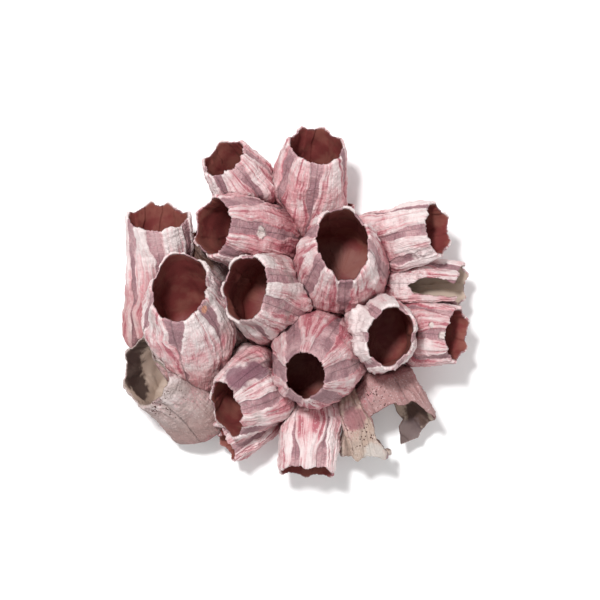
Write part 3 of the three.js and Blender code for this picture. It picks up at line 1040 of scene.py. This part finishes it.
def surface_patterns(t):
    """The noises and the facts about each point that the finish is made of."""
    rays = t.node("ShaderNodeAttribute", attribute_name="rays").outputs["Vector"]
    zone = t.node("ShaderNodeAttribute", attribute_name="zone").outputs["Vector"]
    plate, inside, level = t.node("ShaderNodeSeparateXYZ", {"Vector": zone}).outputs
    place = t.node("ShaderNodeTexCoord").outputs["Object"]
    return SimpleNamespace(
        place=place,
        plate=plate,
        inside=inside,
        level=level,
        above_cut=t.node("ShaderNodeSeparateXYZ", {"Vector": place}).outputs["Z"],
        ribs=t.node("ShaderNodeSeparateXYZ", {"Vector": rays}).outputs["Z"],
        patches=t.noise(place, scale=110, detail=4, roughness=0.6),
        wear=t.noise(place, scale=75, detail=4, roughness=0.65),
        grain=t.noise(place, scale=1300, detail=3),
        dirt=t.noise(place, scale=620, detail=3, roughness=0.7),
        slim=t.noise(t.scaled(rays, (1.1, 0.05, 0)), detail=2, roughness=0.6),
        fine=t.noise(t.scaled(rays, (3.4, 0.12, 0)), detail=2, roughness=0.6),
        rings=t.noise(t.scaled(rays, (0.22, 1.1, 0)), detail=4, roughness=0.75),
        rows=t.noise(t.scaled(rays, (0.6, 2.4, 0)), detail=3, roughness=0.7),
    )


def shell_finish(name, colours):
    """Ribbed white and pink plates, mauve strips between them and a dark smooth hollow."""
    look = look_of(name)
    material = bpy.data.materials.new(name + "_finish")
    t = Tree(material)
    p = surface_patterns(t)
    outside = weathered(t, p, look, colours)
    height = t.weighted(
        (p.slim, 0.8),
        (p.rings, 0.5),
        (p.fine, t.step(p.plate, 0, 1, 0.1, 0.6)),
        (p.rows, t.step(p.plate, 0, 1, 0.35, 0.2)),
        (p.grain, 0.4),
    )
    if look["pores"]:
        holes = pores(t, p.place, *look["pores"])
        # Painted shade: the pore holes are coloured dark and are also sunk in the bump.
        outside = t.mix(holes, outside, rgba(colours.pore_shade))
        height = t.math("SUBTRACT", height, holes)
    colour = t.mix(p.inside, outside, hollow_colour(t, look, colours, p.patches))
    colour, height = marked(t, p, name, colours, colour, height)
    chalk = t.mix(t.step(p.rings, 0.4, 0.6), rgba(colours.dull_chalk), rgba(colours.chalk))
    colour = t.mix(t.math("LESS_THAN", p.above_cut, 0.1 * MM), colour, chalk)
    t.feed(t.shader.inputs["Base Color"], colour)
    t.feed(t.shader.inputs["Roughness"], t.step(p.inside, 0, 1, 0.8, 0.6))
    t.shader.inputs["Specular IOR Level"].default_value = 0.35
    smoother = t.step(p.inside, 0, 1, 1, 0.1)
    bump = t.node("ShaderNodeBump", {"Height": t.math("MULTIPLY", height, smoother)})
    bump.inputs["Strength"].default_value = 0.85
    bump.inputs["Distance"].default_value = 0.9 * MM
    t.feed(t.shader.inputs["Normal"], bump.outputs["Normal"])
    return material


def weathered(t, p, look, colours):
    """The outside's colour: plates and strips, worn, speckled and dirty in patches, and darker towards
    the foot with painted crevice shade.
    """
    ragged = t.math("MULTIPLY", t.math("SUBTRACT", p.rings, 0.5), 0.9)
    on_plate = t.step(t.math("ADD", p.plate, ragged), 0.3, 0.7)
    outside = t.mix(on_plate, strip_colour(t, p, colours), plate_colour(t, p, look, colours))
    worn_from = 0.62 - 0.24 * look["grey"]
    worn = t.step(p.wear, worn_from, worn_from + 0.12, 0, 0.25 + 0.5 * look["grey"])
    outside = t.mix(worn, outside, rgba(colours.grey))
    if look["worn"]:
        uneven = t.math("ADD", p.wear, t.math("MULTIPLY", p.grain, 0.3))
        outside = t.mix(t.step(uneven, 0.5, 0.66, 0.35, 0.9), outside, rgba(look["worn"]))
    specks = t.math("MULTIPLY", t.step(p.grain, 0.56, 0.7, 0, 0.4), t.step(p.plate, 0, 1, 0.3, 1))
    outside = t.mix(specks, outside, rgba(colours.white))
    dirt = t.step(p.dirt, 0.56, 0.72, 0, 0.25)
    outside = t.mix(dirt, outside, rgba(colours.grey), "MULTIPLY")
    outside = t.mix(t.step(p.level, 0.982, 0.994, 0, 0.3), outside, rgba(colours.white))
    # Painted shade: darker towards the foot, where the shells crowd into crevices. On the outer feet it
    # also stands for dirt.
    return t.mix(t.step(p.level, 0.5, 0.1, 0, 0.6), outside, rgba(colours.crevice_shade_and_dirt), "MULTIPLY")


def marked(t, p, name, colours, colour, height):
    """Adds a shell's own knobs, stains and scars, and the shadow painted inside some hollows, to its
    colour and its relief.
    """
    for centre, radius in KNOBS.get(name, ()):
        lump = around_point(t, p.place, centre, 1.15 * radius)
        cover = t.math("MULTIPLY", lump, t.step(p.grain, 0.3, 0.6, 0.45, 0.85))
        colour = t.mix(cover, colour, rgba(colours.white))
    # Dark marks inside the hollows, mostly painted shadow.
    for centre, radius, tint in INNER_STAINS_AND_SHADE.get(name, ()):
        stain = t.math("MULTIPLY", around_point(t, p.place, centre, radius), p.inside)
        colour = t.mix(t.math("MULTIPLY", stain, 0.92), colour, rgba(tint))
    for centre, radius, tint in MARKS.get(name, ()):
        mark = around_point(t, p.place, centre, radius)
        colour = t.mix(t.math("MULTIPLY", mark, 0.85), colour, rgba(tint))
        if tint is WHITE_SCAR:
            height = t.math("ADD", height, mark)
    return colour, height


def plate_colour(t, p, look, colours):
    """White near the mouth and on the ribs, pinker at the foot and crimson between the ribs."""
    low_down = t.step(p.level, 1.0, 0.35)
    stain = t.math("ADD", t.weighted((p.patches, 1.7), (low_down, 0.4)), 0.4 * look["pink"] - 0.7)
    rosy = t.math("SUBTRACT", stain, t.math("MULTIPLY", p.ribs, 0.25))
    rosy = t.math("ADD", rosy, t.math("MULTIPLY", t.math("SUBTRACT", p.fine, 0.5), 0.9))
    base = t.mix(t.step(rosy, 0.0, 0.8), rgba(colours.white), rgba(colours.pink))
    deep = t.weighted((p.slim, 1.3), (p.ribs, -0.3), (p.fine, 0.5), (stain, 0.35))
    reach = 0.16 * look["stripes"]
    return t.mix(t.step(deep, 1.2 - reach, 1.45 - reach, 0, 0.75), base, rgba(colours.crimson))


def strip_colour(t, p, colours):
    """Mauve, patchily paler and pinker, with faint rows across the strip."""
    paler = rgba([lerp(a, b, 0.55) for a, b in zip(colours.mauve, colours.pink)])
    pale = t.weighted((p.rings, 0.7), (p.patches, 1.1))
    colour = t.mix(t.step(pale, 0.75, 1.15), rgba(colours.mauve), paler)
    dusty = t.weighted((p.rows, 0.9), (p.patches, 1.0))
    return t.mix(t.step(dusty, 0.85, 1.25, 0, 0.35), colour, rgba(colours.white))


def hollow_colour(t, look, colours, patches):
    """A smooth brown inside, mottled with a paler one where the shell is worn."""
    redder = rgba((colours.hollow[0] * 0.8, colours.hollow[1] * 0.5, colours.hollow[2] * 0.6))
    colour = t.mix(t.step(patches, 0.4, 0.6), rgba(colours.hollow), redder)
    if look["pale"]:
        cover = 0.75 - 0.6 * look["pale"]
        dull = rgba([lerp(a, b, 0.35) for a, b in zip(colours.hollow, colours.pale_hollow)])
        colour = t.mix(t.step(patches, cover - 0.1, cover), colour, dull)
        colour = t.mix(t.step(patches, cover - 0.02, cover + 0.14), colour, rgba(colours.pale_hollow))
    return colour


def around_point(t, place, centre, radius):
    """1 within an uneven round about a point, and 0 outside it."""
    apart = t.node("ShaderNodeVectorMath", operation="DISTANCE")
    t.feed(apart.inputs[0], place)
    apart.inputs[1].default_value = [c * MM for c in centre]
    uneven = t.math("MULTIPLY", t.noise(place, scale=500, detail=2), 0.9 * radius * MM)
    reach = t.math("ADD", apart.outputs["Value"], uneven)
    return t.step(reach, 1.65 * radius * MM, 1.2 * radius * MM)


def pores(t, place, centre, radius):
    """Small dark holes of several sizes, crowded about a point."""
    crowd = around_point(t, place, centre, radius)
    cells = t.node("ShaderNodeTexVoronoi", {"Vector": place, "Scale": 1150.0})
    size = t.step(t.noise(place, scale=330, detail=1), 0.4, 0.62, 0.0, 0.36)
    hole = t.math("LESS_THAN", cells.outputs["Distance"], size)
    return t.math("MULTIPLY", hole, crowd)


class ShellMaker:
    """What the operators that grow shells share."""

    bl_options = {"REGISTER", "UNDO"}
    names = ()

    def execute(self, context):
        make_shells(self.names)
        return {"FINISHED"}


class BARNACLE_OT_middle(ShellMaker, bpy.types.Operator):
    """Grow the tall shells in the middle, whose mouths open upwards"""

    bl_idname = "barnacle.middle"
    bl_label = "Middle shells"
    names = [s.name for s in SHELLS[:6]]


class BARNACLE_OT_outer(ShellMaker, bpy.types.Operator):
    """Grow the shells round the middle, whose mouths open outwards"""

    bl_idname = "barnacle.outer"
    bl_label = "Outer shells"
    names = [s.name for s in SHELLS[6:14]]


class BARNACLE_OT_broken(ShellMaker, bpy.types.Operator):
    """Grow the shells with broken walls"""

    bl_idname = "barnacle.broken"
    bl_label = "Broken shells"
    names = [s.name for s in SHELLS[14:17]]


class BARNACLE_OT_rear(ShellMaker, bpy.types.Operator):
    """Grow the low shells behind the others"""

    bl_idname = "barnacle.rear"
    bl_label = "Rear shells"
    names = [s.name for s in SHELLS[17:]]


class BARNACLE_OT_stage(bpy.types.Operator):
    """Set the pale floor, the soft lights and the camera straight above"""

    bl_idname = "barnacle.stage"
    bl_label = "Stage"
    bl_options = {"REGISTER", "UNDO"}

    def execute(self, context):
        make_floor()
        add_light("Key", (-0.18, 0.28, 0.94), 0.10, 8.0)
        add_light("Fill", (0.15, -0.35, 0.95), 0.9, 1.3)
        context.scene.world = white_world(0.6)
        context.scene.view_settings.view_transform = "Standard"
        context.scene.camera = overhead_camera()
        return {"FINISHED"}


def make_floor():
    """A pale round floor under the cluster."""
    bm = bmesh.new()
    bmesh.ops.create_circle(bm, cap_ends=True, segments=96, radius=FLOOR_RADIUS)
    mesh = bpy.data.meshes.new("Floor")
    bm.to_mesh(mesh)
    bm.free()
    floor = placed_object("Floor", mesh)
    material = bpy.data.materials.new("Floor_finish")
    t = Tree(material)
    tone = t.noise(t.node("ShaderNodeTexCoord").outputs["Object"], scale=30, detail=2)
    t.feed(t.shader.inputs["Base Color"], t.mix(tone, (0.93, 0.93, 0.93, 1), (0.96, 0.96, 0.96, 1)))
    t.shader.inputs["Roughness"].default_value = 0.9
    mesh.materials.append(material)
    floor.location = (0, 0, -FLOOR_DROP)


def add_light(name, place, size, power):
    """A square soft light that shines on the cluster."""
    data = bpy.data.lights.new(name, "AREA")
    data.size = size
    data.energy = power
    light = placed_object(name, data)
    light.location = place
    towards = -light.location
    light.rotation_mode = "QUATERNION"
    light.rotation_quaternion = towards.to_track_quat("-Z", "Y")


def white_world(strength):
    """Even white light from all round."""
    world = bpy.data.worlds.new("Studio")
    world.use_nodes = True
    background = world.node_tree.nodes["Background"]
    background.inputs["Color"].default_value = (1, 1, 1, 1)
    background.inputs["Strength"].default_value = strength
    return world


def overhead_camera():
    """A long-lens camera straight above the cluster."""
    data = bpy.data.cameras.new("Camera")
    data.lens = CAMERA_LENS
    data.clip_start = 0.01
    camera = placed_object("Camera", data)
    camera.location = (0, 0, CAMERA_HEIGHT)
    return camera


class BARNACLE_PT_panel(bpy.types.Panel):
    """The cluster's steps and settings"""

    bl_label = "Barnacles"
    bl_space_type = "VIEW_3D"
    bl_region_type = "UI"
    bl_category = "Barnacles"

    def draw(self, context):
        layout = self.layout
        for group in (context.scene.barnacle_sizes, context.scene.barnacle_colours):
            for name in group.__annotations__:
                layout.prop(group, name)
        for step in STEPS:
            layout.operator(step.bl_idname)


STEPS = (BARNACLE_OT_middle, BARNACLE_OT_outer, BARNACLE_OT_broken, BARNACLE_OT_rear, BARNACLE_OT_stage)
CLASSES = (ShellSizes, ShellColours, *STEPS, BARNACLE_PT_panel)


def register():
    for cls in CLASSES:
        bpy.utils.register_class(cls)
    bpy.types.Scene.barnacle_sizes = bpy.props.PointerProperty(type=ShellSizes)
    bpy.types.Scene.barnacle_colours = bpy.props.PointerProperty(type=ShellColours)


def unregister():
    del bpy.types.Scene.barnacle_colours
    del bpy.types.Scene.barnacle_sizes
    for cls in reversed(CLASSES):
        bpy.utils.unregister_class(cls)


def main():
    register()
    bpy.ops.barnacle.middle()
    bpy.ops.barnacle.outer()
    bpy.ops.barnacle.broken()
    bpy.ops.barnacle.rear()
    bpy.ops.barnacle.stage()


if __name__ == "__main__":
    main()
